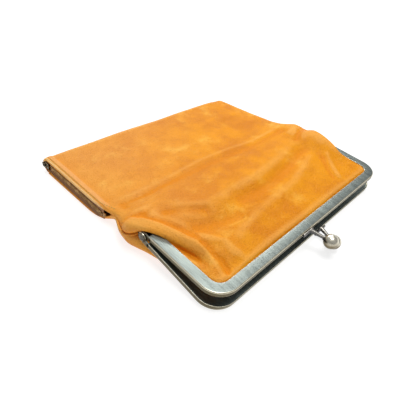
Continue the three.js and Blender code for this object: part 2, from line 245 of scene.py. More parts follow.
def soft_section(points, radii):
    """A closed section outline whose corners are rounded: one point and one radius per corner."""
    outline = []
    count = len(points)
    for i, radius in enumerate(radii):
        here = Vector(points[i])
        back = (Vector(points[i - 1]) - here).normalized()
        ahead = (Vector(points[(i + 1) % count]) - here).normalized()
        if radius == 0:
            outline.append(here)
            continue
        for step in range(5):
            t = step / 4
            near = here + back * radius * (1 - t) ** 2 + ahead * radius * t ** 2
            outline.append(near)
    return outline


def swept_half(section, half_width, reach, corner):
    """Sweeps a channel's section from the left arm's end round the front to the right arm."""
    bm = bmesh.new()
    ring = [bm.verts.new((-half_width + p.x, ARM_END, p.y)) for p in section]
    edges = [bm.edges.new((ring[i], ring[(i + 1) % len(ring)])) for i in range(len(ring))]
    start = bm.faces.new(ring)

    def run(edges, move):
        made = bmesh.ops.extrude_edge_only(bm, edges=edges)["geom"]
        moved = [v for v in made if isinstance(v, bmesh.types.BMVert)]
        bmesh.ops.translate(bm, verts=moved, vec=move)
        return [e for e in made if isinstance(e, bmesh.types.BMEdge) and e.is_boundary]

    def turn(edges, centre):
        made = bmesh.ops.spin(
            bm, geom=edges, cent=centre, axis=(0, 0, 1), angle=math.pi / 2, steps=CORNER_STEPS)
        last = [e for e in made["geom_last"] if isinstance(e, bmesh.types.BMEdge)]
        return last

    side = half_width - corner
    front = -reach + corner
    edges = run(edges, (0, front - ARM_END, 0))
    edges = turn(edges, (-side, front, 0))
    edges = run(edges, (2 * side, 0, 0))
    edges = turn(edges, (side, front, 0))
    edges = run(edges, (0, ARM_END - front, 0))
    bmesh.ops.contextual_create(bm, geom=edges)
    bmesh.ops.recalc_face_normals(bm, faces=bm.faces)
    return bm


def add_ears(bm, half_width, low, high):
    """Flat straps on both arm ends, finished with a round ear for the rivet."""
    EAR_RADIUS = 3.4
    WALL = 0.7
    for side in (-1, 1):
        made = bmesh.ops.create_circle(bm, cap_ends=True, segments=36, radius=EAR_RADIUS)["verts"]
        strap = bmesh.ops.create_cube(bm, size=1.0)["verts"]
        bmesh.ops.scale(bm, verts=strap, vec=(WALL, 6.0, high - low))
        wall_x = side * (half_width - WALL / 2)
        bmesh.ops.translate(bm, verts=strap, vec=(wall_x, -3.6, (low + high) / 2))
        bmesh.ops.rotate(bm, verts=made, matrix=Matrix.Rotation(math.pi / 2, 3, "Y"))
        out = bmesh.ops.extrude_face_region(bm, geom=list({f for v in made for f in v.link_faces}))
        top = [v for v in out["geom"] if isinstance(v, bmesh.types.BMVert)]
        bmesh.ops.translate(bm, verts=top, vec=(WALL, 0, 0))
        disc = list({v for v in made + top})
        edges = [e for e in bm.edges if e.verts[0] in disc and len(e.link_faces) == 2
                 and max(len(f.verts) for f in e.link_faces) > 8]
        bmesh.ops.translate(bm, verts=disc, vec=(wall_x - WALL / 2, 0, 0))
        bmesh.ops.bevel(bm, geom=edges, offset=0.15, segments=2, profile=0.5,
                        affect="EDGES", material=-1, offset_type="OFFSET")
    bmesh.ops.recalc_face_normals(bm, faces=bm.faces)


def finished(bm, name, material, body, nodes=(), tilt=None, weighted=True):
    """Turns a bmesh in millimetres into a piece of the purse, in metres, riding on its body."""
    if tilt is not None:
        bm.transform(Matrix.Translation(HINGE) @ Matrix.Rotation(tilt, 4, "X"))
    bmesh.ops.scale(bm, vec=(MM, MM, MM), verts=bm.verts)
    data = bpy.data.meshes.new(name)
    bm.to_mesh(data)
    bm.free()
    data.materials.append(material)
    for polygon in data.polygons:
        polygon.use_smooth = True
    piece = bpy.data.objects.new(name, data)
    bpy.context.scene.collection.objects.link(piece)
    if weighted:
        data.set_sharp_from_angle(angle=SHARP_ANGLE)
    if body:
        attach(piece, body)
    if nodes:
        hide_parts(*nodes)
    return piece


# colours of the level faces, of the skirts (a painted shade) and of the shoulders (wear and a painted
# highlight)
frame_finish = brushed_metal(
    "brushed_frame", (0.305, 0.35, 0.33), (0.11, 0.092, 0.052), (0.92, 0.86, 0.66))
UPPER_SECTION = soft_section(
    [(0, 0.4), (6.7, 0.4), (6.7, 1.1), (0.7, 1.1), (0.7, 3.0), (7.0, 3.0), (7.0, 3.7), (0, 3.7)],
    [0.12, 0.2, 0.2, 0.2, 0.3, 0.2, 0.25, 1.0],
)
upper_half = swept_half(UPPER_SECTION, UPPER_HALF_WIDTH, UPPER_REACH, UPPER_CORNER)
add_ears(upper_half, UPPER_HALF_WIDTH, 0.4, 3.5)
finished(upper_half, "upper_channel", frame_finish, "upper_frame",
         ["upper_frame_half"], UPPER_TILT)
LOWER_SECTION = soft_section(
    [(0, -4.6), (7.0, -4.6), (7.0, -3.9), (0.7, -3.9), (0.7, -2.3), (6.7, -2.3), (6.7, -1.6),
     (0.7, -1.6), (0.7, -0.5), (0, -0.5)],
    [1.0, 0.25, 0.2, 0.3, 0.2, 0.2, 0.2, 0.15, 0.3, 0.3],
)
lower_half = swept_half(LOWER_SECTION, LOWER_HALF_WIDTH, LOWER_REACH, LOWER_CORNER)
add_ears(lower_half, LOWER_HALF_WIDTH, -4.2, -0.5)
finished(lower_half, "lower_channel", frame_finish, "purse_body",
         ["lower_frame_half"], LOWER_TILT)

# --- Top leather -------------------------------------------------------------------------
# One piece of waxed pull-up leather: held in the upper channel at the front, gathered over both
# hinges, creased where the pouch ends, and turned round the back edge. Soft folds and a roll
# over each arm come from the fullness that is gathered at the hinges.
LEATHER = 1.1
FOLD_Y = 92.7
CHANNEL_FACE = 7.0
HELD_FRONT = -58  # in front of this row the leather runs into the channels
GRIP = 5.0  # how far the leather's edge reaches into the channel


def plane_height(y, tilt):
    """Height of a frame half's own plane above the table."""
    return HINGE.z + (y - HINGE.y) * math.tan(tilt)


def ridge(x, y, height, width, *line):
    """A soft ridge, or a fold if its height is negative, along a line of (x, y) points."""
    nearest = np.full(np.shape(x), 1e9)
    for (x0, y0), (x1, y1) in zip(line, line[1:]):
        length = (x1 - x0) ** 2 + (y1 - y0) ** 2
        t = np.clip(((x - x0) * (x1 - x0) + (y - y0) * (y1 - y0)) / length, 0, 1)
        nearest = np.minimum(nearest, (x - x0 - t * (x1 - x0)) ** 2 + (y - y0 - t * (y1 - y0)) ** 2)
    return height * np.exp(-nearest / (2 * width ** 2))


def eased(at, points, spread=2.0):
    """A smooth curve through roughly these (place, value) points."""
    places, values = zip(*points)
    fine = np.arange(places[0] - 4 * spread, places[-1] + 4 * spread, spread / 4)
    line = np.interp(fine, places, values)
    weights = np.exp(-np.linspace(-3, 3, 25) ** 2 / 2)
    padded = np.concatenate([np.full(12, line[0]), line, np.full(12, line[-1])])
    return np.interp(at, fine, np.convolve(padded, weights / weights.sum(), "valid"))


def step(t):
    t = np.clip(t, 0, 1)
    return t * t * (3 - 2 * t)


def inside_channel(x, y, half_width, reach, corner):
    """Distance from the channel's inner edge, positive inside the frame's opening."""
    radius = corner - CHANNEL_FACE
    across = np.abs(x - HINGE.x) - (half_width - CHANNEL_FACE - radius)
    along = -(y - HINGE.y) - (reach - CHANNEL_FACE - radius)
    outside = np.hypot(np.maximum(across, 0), np.maximum(along, 0))
    return radius - outside - np.minimum(np.maximum(across, along), 0)


# each row: a height (negative for a hollow), a width, and the line of (x, y) points it follows
FOLDS = [
    # the pouch's crest, the crease behind it and the second ridge towards the clasp
    (1.5, 6.0, [(-60, -20), (-47, -27), (-26, -30), (1, -30), (23, -27), (61, -20), (88, -12)]),
    (-1.0, 3.4, [(-84, 12), (-72, 9), (-54, 11), (-37, 10), (-12, 9), (12, 6), (39, 3), (78, 4)]),
    (0.7, 2.2, [(-90, 19), (-76, 17), (-52, 15), (-33, 17), (-9, 18), (21, 15), (48, 10),
     (78, 10), (92, 9)]),
    (1.5, 4.6, [(-52, -61), (-37, -56), (-16, -54), (2, -52), (21, -51), (44, -44), (60, -38)]),
    # hollows between the ridges
    (-1.4, 2.6, [(-72, -16), (-62, -22), (-52, -31)]),
    (-1.9, 4.4, [(-66, -39), (-55, -43), (-38, -49)]),
    (-2.1, 5.4, [(-22, -37), (4, -40), (39, -35), (60, -31)]),
    # the roll over the left arm runs on into the opening as a softer ridge and a deep pleat
    (2.8, 2.6, [(-95, -10), (-90.5, -13), (-85, -25), (-80.5, -38), (-77, -48), (-75.6, -56)]),
    (-1.9, 2.0, [(-86, -9), (-80, -24), (-75.0, -36), (-73.0, -45)]),
    (-2.2, 2.2, [(-95, -1.5), (-89, -3.5), (-83, -7)]),
    (1.8, 3.0, [(-70, -46), (-62, -58), (-63, -69)]),
    (-2.0, 1.3, [(-73.5, -50), (-73.5, -60), (-72.8, -66), (-76, -74)]),
    (-0.8, 2.6, [(-72, -73), (-66, -72)]),
    # the fullness gathered over the right arm
    (4.6, 8.0, [(84, -22), (83, -34)]),
    (2.2, 4.0, [(92, -1), (80, -7)]),
    (-1.9, 2.2, [(96, -12), (84, -13), (72, -18)]),
    (1.1, 2.2, [(74, -47), (63, -60), (57, -68)]),
    (-0.7, 2.0, [(68, -47), (58, -58), (53, -66)]),
]
WRINKLES = [
    (-0.45, 1.1, [(-86, 8), (-78, 5), (-68, 4)]),
    (-0.40, 1.0, [(-85, 3), (-76, 0.5), (-64, 0)]),
    (-0.35, 1.0, [(-88, -3), (-80, -6), (-70, -6)]),
    (-0.35, 0.9, [(-78, 12), (-70, 10), (-60, 10)]),
]


def top_height(x, y):
    """The top leather's height away from its side edges."""
    z = eased(y, [(-84, 17.0), (-76, 18.0), (-66, 18.5), (-52, 19.0), (-42, 19.3), (-28, 20.6),
                  (-14, 19.6), (-2, 17.9), (8, 16.0), (15, 14.9), (24, 13.9), (40, 13.6),
                  (93, 13.4)], 3.0)
    lean = eased(y, [(10, 0), (26, 0.6), (56, 2.6), (93, 3.6)], 4.0)
    z = z - lean * (x + 98) / 197
    for height, width, line in FOLDS:
        z = z + ridge(x, y, height, width, *line)
    # the hem turned in along the zipper
    z = z + 0.6 * step((-91.2 - x) / 0.7) * step((y - 17) / 4)
    # short drawn wrinkles by the left seam and shallow waves over the pocket
    for height, width, line in WRINKLES:
        z = z + ridge(x, y, height, width, *line)
    z = z + 0.35 * np.sin(x / 17 + y / 29) * np.sin(y / 13 - x / 41)
    return z


def drape(rows, left, right, height, columns=118, edge_columns=16):
    """Lofts a skin from the left side line to the right. left and right give, for some rows, the
    five (x, z) points that the section passes on its way from the hidden edge to the open field."""
    def side_points(stations):
        def line(k, axis):
            return eased(rows, [(s[0], s[1 + k][axis]) for s in stations], 2.0)

        return [[line(k, axis) for axis in (0, 1)] for k in range(5)]

    def through(points, t):
        """A smooth curve through the five side points, t from 0 to 4."""
        i = min(int(t), 3)
        f = t - i
        chosen = [points[max(i - 1, 0)], points[i], points[i + 1], points[min(i + 2, 4)]]
        weights = [
            (-f + 2 * f * f - f ** 3) / 2, (2 - 5 * f * f + 3 * f ** 3) / 2,
            (f + 4 * f * f - 3 * f ** 3) / 2, (f ** 3 - f * f) / 2]
        return [sum(w * p[axis] for w, p in zip(weights, chosen)) for axis in (0, 1)]

    left_points, right_points = side_points(left), side_points(right)
    sections = []
    for i in range(edge_columns):
        sections.append(through(left_points, 4 * i / edge_columns))
    x_left, z_left = left_points[4]
    x_right, z_right = right_points[4]
    lift_left = z_left - height(x_left, rows)
    lift_right = z_right - height(x_right, rows)
    for i in range(columns + 1):
        x = x_left + (x_right - x_left) * i / columns
        z = height(x, rows)
        z = z + lift_left * np.exp(-((x - x_left) / 9.0) ** 2)
        z = z + lift_right * np.exp(-((x - x_right) / 9.0) ** 2)
        sections.append([x, z])
    for i in reversed(range(edge_columns)):
        sections.append(through(right_points, 4 * i / edge_columns))
    x = np.array([s[0] for s in sections])
    z = np.array([s[1] for s in sections])
    return x, np.broadcast_to(rows, x.shape).copy(), z


def fold_shade_depth(z):
    """1 at the bottom of a fold, -1 on a crest: how far a point lies below its surroundings. The
    leather uses it for painted shade in the hollows and a painted highlight on the crests.
    """
    mean = z
    for axis, reach in ((0, 4), (1, 5)):
        even = np.full(2 * reach + 1, 1 / (2 * reach + 1))
        mean = np.apply_along_axis(
            lambda line: np.convolve(np.pad(line, reach, "edge"), even, "valid"), axis, mean)
    return np.clip((mean - z) / 0.75, -1, 1)


def skin_mesh(x, y, z, gripped=None):
    """A grid whose points take their places from three arrays, one row for each column of it.
    gripped is each point's distance inside the channel's inner edge: corners beyond it are cut."""
    across, along = x.shape
    bm = bmesh.new()
    # each point keeps its fold depth for the leather's painted shade in hollows and painted highlight
    # on crests
    depths = fold_shade_depth(z)
    layer = bm.verts.layers.float.new("fold_shade_depth")
    bmesh.ops.create_grid(bm, x_segments=across - 1, y_segments=along - 1, size=0.5)
    for v in bm.verts:
        i = round((v.co.x + 0.5) * (across - 1))
        j = round((v.co.y + 0.5) * (along - 1))
        v.co = (x[i, j], y[i, j], z[i, j])
        v[layer] = depths[i, j]
        v.tag = gripped is not None and bool(gripped[i, j] < -GRIP)
    bmesh.ops.delete(bm, geom=[v for v in bm.verts if v.tag], context="VERTS")
    return bm


def upper_slot(y):
    return plane_height(y, UPPER_TILT) + 2.6


# each row: a y, then the five (x, z) points that the side passes there
TOP_LEFT = [
    (-84, (-90, 15.5), (-87, 15.9), (-86, 16.6), (-84.5, 16.9), (-82, 17.1)),
    (-77, (-90, 15.9), (-87, 16.2), (-86, 16.9), (-84.5, 17.3), (-82, 17.5)),
    (-68, (-90, 16.4), (-87, 16.7), (-85.4, 17.0), (-83, 17.3), (-79, 17.7)),
    (-60, (-90, 16.8), (-86.4, 17.6), (-82.6, 17.0), (-80.4, 17.2), (-76.6, 19.2)),
    (-55, (-90, 17.0), (-86.2, 17.7), (-81.6, 15.6), (-80.4, 18.0), (-77.0, 21.4)),
    (-49, (-90, 17.4), (-86.4, 17.6), (-82.6, 15.6), (-82.0, 19.2), (-78.4, 22.4)),
    (-42, (-90, 17.7), (-86.8, 17.4), (-84.6, 16.2), (-84.2, 20.2), (-80.6, 23.0)),
    (-35, (-90, 18.2), (-86.8, 18.8), (-87.0, 20.0), (-86.0, 22.3), (-82.6, 23.6)),
    (-27, (-88, 18.7), (-87.2, 19.9), (-90.4, 20.8), (-89.4, 23.0), (-85.8, 24.0)),
    (-20, (-90, 17.5), (-91.5, 20.4), (-94.6, 21.0), (-93.2, 23.3), (-89, 24.0)),
    (-12, (-93, 12), (-97.6, 13.2), (-99.6, 17.2), (-97.8, 21.8), (-92.8, 23.3)),
    (-7.5, (-93, 11.9), (-97.8, 12.4), (-99.4, 15.2), (-97.6, 19.8), (-92.8, 21.6)),
    (-3.5, (-92.8, 11.7), (-96.6, 11.9), (-97.0, 13.6), (-94.8, 15.6), (-91.4, 16.6)),
    (2, (-92.0, 11.5), (-95.0, 11.6), (-95.2, 13.0), (-93.6, 15.2), (-90.8, 16.2)),
    (8.5, (-90.0, 11.2), (-92.8, 11.2), (-93.1, 12.3), (-92.2, 13.8), (-90.0, 14.8)),
    (13, (-91.0, 11), (-93.9, 11), (-94.6, 12.2), (-93.7, 13.6), (-91, 14.3)),
    (21, (-91.6, 10.9), (-94.8, 10.9), (-96.2, 12.1), (-95.4, 13.5), (-92.8, 14.0)),
    (32, (-92, 10.8), (-95.4, 10.8), (-97.1, 12.1), (-96.2, 13.5), (-93.2, 13.9)),
    (92, (-92, 10.7), (-95.6, 10.7), (-97.5, 12.0), (-96.6, 13.3), (-93.5, 13.6)),
]
TOP_RIGHT = [
    (-84, (91.3, 15.5), (88.3, 15.9), (87.3, 16.6), (85.8, 16.9), (83, 17.1)),
    (-77, (91.3, 15.9), (88.3, 16.2), (87.3, 16.9), (85.8, 17.3), (83, 17.5)),
    (-60, (91.3, 16.8), (88.2, 17.3), (87.3, 18.1), (85.6, 18.4), (83, 18.8)),
    (-52, (91.3, 17.3), (88.1, 17.9), (87.2, 19.2), (85.8, 20.6), (82.5, 21.6)),
    (-46, (91.3, 17.6), (88.3, 18.8), (89.5, 20.4), (88.2, 22.6), (84, 23.6)),
    (-38, (91, 18.1), (88.4, 19.4), (92.4, 21.0), (91.2, 23.6), (86.5, 25.0)),
    (-29, (90, 18.5), (89.5, 20.2), (95.0, 21.2), (93.8, 24.2), (88.5, 25.8)),
    (-20, (91.5, 17.5), (93, 20.2), (97.6, 20.8), (96.2, 23.6), (91, 24.8)),
    (-12, (94, 12), (98, 13.5), (100, 15.8), (98.6, 18.8), (94, 20.4)),
    (-7, (94, 11.8), (98.4, 12.4), (100, 15.2), (98.6, 19.4), (94, 21.4)),
    (0, (94, 11.2), (98.6, 11.6), (100, 14.8), (98.6, 19.6), (94, 21.4)),
    (7, (94, 10.3), (98.4, 10.6), (99.6, 13.2), (98.2, 16.8), (94, 18.4)),
    (16, (94, 8), (98.2, 8.2), (99.2, 10.4), (98.0, 13.5), (94, 14.9)),
    (26, (94, 6.6), (98.2, 6.8), (99.2, 8.6), (98, 11.6), (94.5, 13.0)),
    (56, (94, 5), (98.2, 5.2), (99.15, 6.6), (98, 9.4), (94.5, 10.6)),
    (92, (94, 4.2), (98.2, 4.3), (99.15, 5.4), (98.2, 7.4), (95, 8.4)),
]
rows = np.linspace(-82.0, FOLD_Y, 152)
x, y, z = drape(rows, TOP_LEFT, TOP_RIGHT, top_height)
edge = inside_channel(x, y, UPPER_HALF_WIDTH, UPPER_REACH, UPPER_CORNER)
edge[:, rows > HELD_FRONT] = 0
rise = step((edge + 0.3) / 1.5)
z = np.where(y < HELD_FRONT, upper_slot(y) + (z - upper_slot(y)) * rise, z)
# the last row is carried round the back edge in a half turn and a little way underneath
last_x, last_z = x[:, -1], z[:, -1]
radius = last_z / 2
turns = [math.pi / 2 - math.pi * (i + 1) / 16 for i in range(16)]
fold_y = [FOLD_Y + radius * math.cos(turn) for turn in turns] + [np.full_like(radius, FOLD_Y - 4)]
fold_z = [radius + (radius - 0.25) * math.sin(turn) for turn in turns] + [np.full_like(radius, 0.3)]
edge = np.pad(edge, ((0, 0), (0, len(fold_y))))
hidden = np.zeros_like(radius)  # the fold's tucked-in sides stay clear of the table
hidden[:12] = hidden[-12:] = 1.4
fold_z = [np.maximum(row, hidden) for row in fold_z]
x = np.concatenate([x] + [last_x[:, None]] * len(fold_y), axis=1)
y = np.concatenate([y] + [row[:, None] for row in fold_y], axis=1)
z = np.concatenate([z] + [row[:, None] for row in fold_z], axis=1)


def creased(bm, seed, amount):
    """Fine handling wrinkles: small moves of the points along their normals."""
    bm.normal_update()
    moves = []
    for v in bm.verts:
        broad = noise.noise(Vector((v.co.x / 26, v.co.y / 15, v.co.z / 30 + seed)))
        fine = noise.noise(Vector((v.co.x / 7, v.co.y / 4.5, v.co.z / 9 + seed)))
        moves.append(v.normal * (amount * (0.75 * broad + 0.25 * fine)))
    for v, move in zip(bm.verts, moves):
        v.co += move


def leather(name, hem=False):
    """Waxed leather: mottled tan and orange, pale scuffs, fine grain, a satin wax finish, painted
    shade in the hollows of its folds and a painted highlight on their crests.
    """
    material, shader, place, normal = new_finish(name, {"Specular IOR Level": 0.13})
    deep, middle, pale, edge_tone = [tuple(c) + (1,) for c in WAX_COLOURS]
    broad = place.noise(22.0, 3.0, 0.5)
    cloudy = place.noise(75.0, 5.0, 0.62)
    mottle = (broad * 0.55 + cloudy * 0.45).between(0.36, 0.64)
    colour = mottle.mixed(deep, middle)
    lift = place.stretched((1.0, 1.0, 2.0)).noise(38.0, 6.0, 0.68).between(0.52, 0.74)
    colour = (lift * 0.8).mixed(colour, pale)
    scratches = place.stretched((0.45, 2.0, 1.0)).noise(120.0, 4.0, 0.7).between(0.66, 0.76)
    patches = place.noise(30.0, 2.0, 0.5).between(0.5, 0.62)
    colour = (scratches * patches * 0.75).mixed(colour, pale)
    # handling has bleached the corner behind the zipper and, in part, the crests of the folds;
    # the crests also carry a painted highlight, and the hollows are darkened as painted shade
    fold = place.node("ShaderNodeAttribute", {"attribute_name": "fold_shade_depth"}, {}, 2)
    side, behind = place.part(0), place.part(1)
    bleached = (behind * 0.75 - side).between(-0.03, 0.15) * (0.35 + cloudy * 0.7)
    colour = (bleached * 0.6).mixed(colour, (0.85, 0.41, 0.13, 1))
    colour = (fold.between(0.05, 0.8) * 0.75).mixed(colour, (0.79, 0.255, 0.001, 1))
    colour = ((fold * -1.0).between(0.12, 0.9) * 0.5).mixed(colour, (0.93, 0.45, 0.09, 1))
    pores = place.node("ShaderNodeTexVoronoi", {}, {"Vector": place, "Scale": 1500.0})
    grain = place.noise(900.0, 4.0, 0.6)
    freckle = place.noise(420.0, 3.0, 0.7).between(0.62, 0.8)
    colour = (freckle * 0.35).mixed(colour, edge_tone)
    colour = ((grain - 0.5) * 1.6).between(0.0, 0.4).mixed(
        colour, colour.node("ShaderNodeMix", {"data_type": "RGBA", "blend_type": "MULTIPLY"},
                            {0: 1.0, 6: colour, 7: (0.82, 0.72, 0.58, 1)}, 2))
    height = pores * 0.6 + grain * 1.5 + place.noise(180.0, 4.0, 0.6) * 1.4
    if hem:
        # the hem along the zipper: stretched pale over its filler, with a painted highlight along its
        # lip, and drawn down along the stitches with painted shade in that groove
        left = side * -1.0
        behind = behind.between(0.014, 0.021)
        band = left.between(0.0910, 0.0917) * (1 - left.between(0.0940, 0.0948)) * behind
        lip_highlight = left.between(0.0955, 0.0961) * (1 - left.between(0.0969, 0.0974)) * behind
        seam = left.between(0.0943, 0.0948) * (1 - left.between(0.0951, 0.0955)) * behind
        colour = (band * 0.5).mixed(colour, (0.90, 0.46, 0.18, 1))
        colour = (lip_highlight * (0.55 + cloudy * 0.3)).mixed(colour, (0.98, 0.68, 0.30, 1))
        colour = (seam * 0.25).mixed(colour, edge_tone)
        height = height - seam * 1.5
    feed(
        shader,
        Base_Color=colour,
        Roughness=0.40 + mottle * 0.08 + grain * 0.10 - scratches * 0.05,
        Normal=bumped(height, 0.48, 0.0010),
    )
    return material


WAX_COLOURS = [(0.71, 0.225, 0.001), (0.88, 0.335, 0.003), (0.98, 0.52, 0.07), (0.42, 0.11, 0.002)]
tan_leather = leather("tan_leather")
hemmed_leather = leather("hemmed_leather", hem=True)
top = skin_mesh(x, y, z, edge)
creased(top, 3.7, 0.28)
bmesh.ops.recalc_face_normals(top, faces=top.faces)
if sum(f.normal.z for f in top.faces) < 0:
    bmesh.ops.reverse_faces(top, faces=top.faces)
top_skin = finished(top, "top_leather_skin", hemmed_leather, None,
                    ["top_leather", "upper_mouth_leather", "back_fold_leather"], weighted=False)
thickness = top_skin.modifiers.new("leather_thickness", "SOLIDIFY")
thickness.thickness = LEATHER * MM
thickness.offset = -1
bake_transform(top_skin)

# --- Bottom leather ----------------------------------------------------------------------
# The same leather below: held in the lower channel, swelling out under both hinges, lying flat
# on the table, and lapped over the turned end of the top leather at the back.
def mirrored(stations):
    return [(s[0], *[(2 * HINGE.x - x, z) for x, z in s[1:]]) for s in stations]


BOTTOM_FRONT = [
    (-83, (-91.5, 1.2), (-88.5, 1.1), (-87.5, 0.8), (-86, 0.5), (-83, 0.35)),
    (-76, (-91.5, 2.5), (-88.2, 2.2), (-87.2, 1.4), (-86, 0.7), (-82, 0.35)),
    (-60, (-91.5, 5.5), (-88.3, 5.1), (-87.6, 3.0), (-86, 1.0), (-81, 0.35)),
    (-45, (-91.5, 8.3), (-88.6, 7.8), (-89.5, 4.6), (-87.5, 1.4), (-82, 0.35)),
    (-32, (-91.5, 10.7), (-89.5, 10.0), (-92.6, 6.0), (-90, 1.8), (-84, 0.35)),
    (-22, (-90.5, 12.4), (-93.0, 11.0), (-95.2, 7.0), (-92.5, 2.0), (-86, 0.35)),
    (-10, (-93.5, 12.2), (-98.0, 11.4), (-98.8, 6.5), (-96, 1.8), (-89, 0.35)),
]
BOTTOM_LEFT = BOTTOM_FRONT + [
    (0, (-92, 11.5), (-96.6, 11.1), (-97.2, 6.0), (-94.6, 1.8), (-88, 0.35)),
    (4, (-91, 11.4), (-94.9, 11.0), (-95.5, 5.8), (-93.0, 2.0), (-86, 0.35)),
    (8, (-90, 11.2), (-93.3, 10.8), (-93.6, 6.6), (-91.2, 2.6), (-84, 0.5)),
    (12, (-89.6, 10.4), (-92.7, 9.9), (-92.2, 7.4), (-90.0, 4.0), (-83, 0.9)),
    (16, (-90, 7.0), (-92.9, 6.8), (-92.7, 5.0), (-91.0, 2.6), (-84, 0.6)),
    (19.5, (-91.4, 3.6), (-94.2, 3.9), (-94.4, 2.7), (-93.0, 1.2), (-87, 0.4)),
    (23, (-93.0, 2.4), (-95.3, 2.7), (-95.8, 1.9), (-94.8, 0.8), (-90, 0.35)),
    (27, (-94.2, 1.7), (-96.2, 2.2), (-96.9, 1.5), (-96.0, 0.6), (-92, 0.3)),
    (34, (-94.6, 1.5), (-96.8, 2.0), (-97.6, 1.3), (-96.8, 0.5), (-93, 0.3)),
    (93, (-94.8, 1.4), (-97.2, 1.9), (-98.2, 1.2), (-97.6, 0.45), (-94, 0.3)),
]
BOTTOM_RIGHT = mirrored(BOTTOM_FRONT + [
    (0, (-93, 11.5), (-97.6, 11.2), (-98.2, 6.3), (-95.5, 1.8), (-89, 0.35)),
]) + [
    (6, (94, 10.0), (98.3, 10.0), (99.0, 6.0), (97, 1.8), (92, 0.35)),
    (16, (94, 7.3), (98.2, 7.5), (99.0, 4.6), (97.2, 1.4), (92, 0.35)),
    (26, (94, 5.9), (98.2, 6.1), (99.0, 3.8), (97.4, 1.2), (93, 0.3)),
    (56, (94, 4.3), (98.2, 4.5), (99.0, 2.8), (97.6, 0.9), (94, 0.3)),
    (93, (94, 3.5), (98.2, 3.6), (99.0, 2.2), (97.8, 0.7), (94, 0.3)),
]


def lower_slot(y):
    return plane_height(y, LOWER_TILT) - 3.65


def bottom_height(x, y):
    lap = 1.5 * step((y - 84) / 4)
    waves = 0.5 + 0.5 * np.sin(x / 15 + y / 23) * np.sin(y / 17 - x / 31)
    return 0.3 + lap + 0.45 * waves + ridge(x, y, 0.8, 3.0, (-90, 16), (-30, 14), (40, 13), (92, 15))


low_rows = np.linspace(-83.5, FOLD_Y - 1, 140)
low_x, low_y, low_z = drape(low_rows, BOTTOM_LEFT, BOTTOM_RIGHT, bottom_height, 100)
edge = inside_channel(low_x, low_y, LOWER_HALF_WIDTH, LOWER_REACH, LOWER_CORNER)
edge[:, low_rows > HELD_FRONT] = 0
drop = step((edge + 0.2) / 3.0)
low_z = np.where(low_y < HELD_FRONT, lower_slot(low_y) + (low_z - lower_slot(low_y)) * drop, low_z)
bottom = skin_mesh(low_x, low_y, low_z, edge)
bmesh.ops.recalc_face_normals(bottom, faces=bottom.faces)
if sum(f.normal.z for f in bottom.faces) > 0:
    bmesh.ops.reverse_faces(bottom, faces=bottom.faces)
bottom_skin = finished(bottom, "bottom_leather_skin", tan_leather, "purse_body",
                       ["bottom_leather"], weighted=False)
thickness = bottom_skin.modifiers.new("leather_thickness", "SOLIDIFY")
thickness.thickness = LEATHER * MM
thickness.offset = -1

# --- Linings -----------------------------------------------------------------------------
# Brown twill lining follows the inside of the leather in the pouch and in the zipped pocket; a
# sewn divider of the same cloth parts the two.
def twill(name, dark, light):
    material, shader, place, normal = new_finish(name, {"Sheen Weight": 0.25, "Roughness": 0.85})
    threads = place.node("ShaderNodeTexWave", {"wave_type": "BANDS", "bands_direction": "DIAGONAL"},
                         {"Vector": place, "Scale": 520.0, "Distortion": 0.6, "Detail": 1.0})
    cross = place.node("ShaderNodeTexWave", {"wave_type": "BANDS", "bands_direction": "X"},
                       {"Vector": place, "Scale": 900.0, "Distortion": 0.4})
    fade = place.noise(90.0, 3.0)
    weave = threads * 0.7 + cross * 0.3
    feed(shader, Base_Color=(weave * 0.6 + fade * 0.4).mixed(tuple(dark) + (1,), tuple(light) + (1,)),
         Normal=bumped(weave, 0.5, 0.0003))
    return material


lining_cloth = twill("brown_twill", (0.035, 0.018, 0.010), (0.14, 0.075, 0.04))
INSET = LEATHER + 0.9
POUCH_WIDTH, POCKET_WIDTH = 0.982, 0.975  # of the leather's own width


def lining(name, x, y, z, nodes, blended, downward):
    cloth = skin_mesh(x, y, z)
    bmesh.ops.recalc_face_normals(cloth, faces=cloth.faces)
    if (sum(f.normal.z for f in cloth.faces) > 0) == downward:
        bmesh.ops.reverse_faces(cloth, faces=cloth.faces)
    piece = finished(cloth, name, lining_cloth, None if blended else "purse_body", nodes,
                     weighted=False)
    wall = piece.modifiers.new("cloth_thickness", "SOLIDIFY")
    wall.thickness = 0.3 * MM
    wall.offset = -1
    if blended:
        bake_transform(piece)
    return piece


across = slice(14, -14)
front_rows = np.nonzero((rows > -77) & (rows < 15))[0]
sunk = z.copy()  # the cloth spans the folds instead of following them
for shift in ((1, 0), (-1, 0), (2, 0), (-2, 0), (3, 0), (-3, 0), (0, 1), (0, -1), (0, 2), (0, -2)):
    sunk = np.minimum(sunk, np.roll(z, shift, axis=(0, 1)))
part_x, part_y, part_z = x[across, front_rows], y[across, front_rows], sunk[across, front_rows]
part_x = HINGE.x + (part_x - HINGE.x) * POUCH_WIDTH
lining("upper_pouch_lining", part_x, part_y, part_z - INSET,
       ["pouch_top_lining", "upper_mouth_lining"], True, True)
front_rows = np.nonzero((low_rows > -74) & (low_rows < 15))[0]
part_x, part_y, part_z = [a[across, front_rows] for a in (low_x, low_y, low_z)]
part_x = HINGE.x + (part_x - HINGE.x) * POUCH_WIDTH
lining("lower_pouch_lining", part_x, part_y, part_z + INSET, ["pouch_bottom_lining"], False, False)

